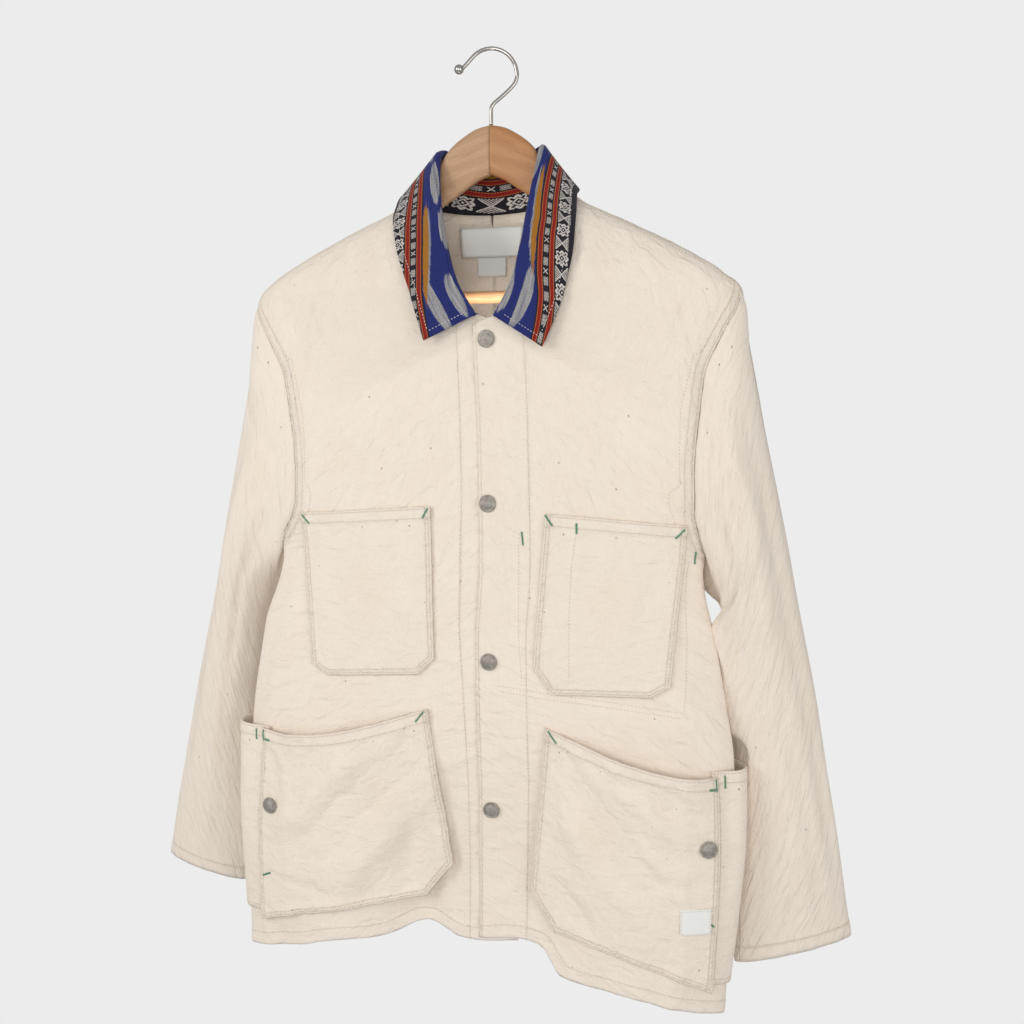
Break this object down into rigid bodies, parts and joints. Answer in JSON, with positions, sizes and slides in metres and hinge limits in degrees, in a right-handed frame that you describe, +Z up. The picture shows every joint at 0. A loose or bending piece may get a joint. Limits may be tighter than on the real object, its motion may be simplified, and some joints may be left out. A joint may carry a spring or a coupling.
{
  "type": "chore jacket on a wooden hanger",
  "caption": "Cotton chore jacket with patch pockets and a woven blue collar, buttoned, on a wooden hanger with a wire hook; its body and sleeves are hollow.",
  "frame": {"origin": "inner top of the hanger's hook, where it rests on its support", "axes": "+Z up, +X toward the wearer's left, -Y toward the front of the jacket"},
  "size_m": [0.696, 0.1359, 0.8614],
  "materials": {
    "back_left": "undyed cotton twill",
    "back_right": "undyed cotton twill",
    "front_left": "undyed cotton twill",
    "front_right": "undyed cotton twill",
    "sleeve_left": "undyed cotton twill",
    "sleeve_right": "undyed cotton twill",
    "collar": "woven blue cotton with ikat and striped bands",
    "chest_pocket_right": "undyed cotton twill",
    "chest_pocket_left": "undyed cotton twill",
    "lower_pocket_right": "undyed cotton twill",
    "lower_pocket_left": "undyed cotton twill",
    "side_pocket_right": "undyed cotton twill",
    "side_pocket_left": "undyed cotton twill",
    "neck_label": "white woven label, bare",
    "care_label": null,
    "pocket_label": "white woven label, bare",
    "button_1": "dull grey metal",
    "button_2": "dull grey metal",
    "button_3": "dull grey metal",
    "button_4": "dull grey metal",
    "pocket_button_right": "dull grey metal",
    "pocket_button_left": "dull grey metal",
    "hanger_arm_left": "satin lacquered wood",
    "hanger_arm_right": "satin lacquered wood",
    "hanger_bar": "satin lacquered wood",
    "hanger_hook": "polished wire"
  },
  "bodies": {
    "root": {"back_left": "back_left", "back_right": "back_right", "front_left": "front_left", "front_right": "front_right", "sleeve_left": "sleeve_left", "sleeve_right": "sleeve_right", "collar": "collar", "chest_pocket_right": "chest_pocket_right", "chest_pocket_left": "chest_pocket_left", "lower_pocket_right": "lower_pocket_right", "lower_pocket_left": "lower_pocket_left", "side_pocket_right": "side_pocket_right", "side_pocket_left": "side_pocket_left", "neck_label": "neck_label", "care_label": "care_label", "pocket_label": "pocket_label", "button_1": "button_1", "button_2": "button_2", "button_3": "button_3", "button_4": "button_4", "pocket_button_right": "pocket_button_right", "pocket_button_left": "pocket_button_left", "hanger_arm_left": "hanger_arm_left", "hanger_arm_right": "hanger_arm_right", "hanger_bar": "hanger_bar", "hanger_hook": "hanger_hook"}
  },
  "joints": []
}
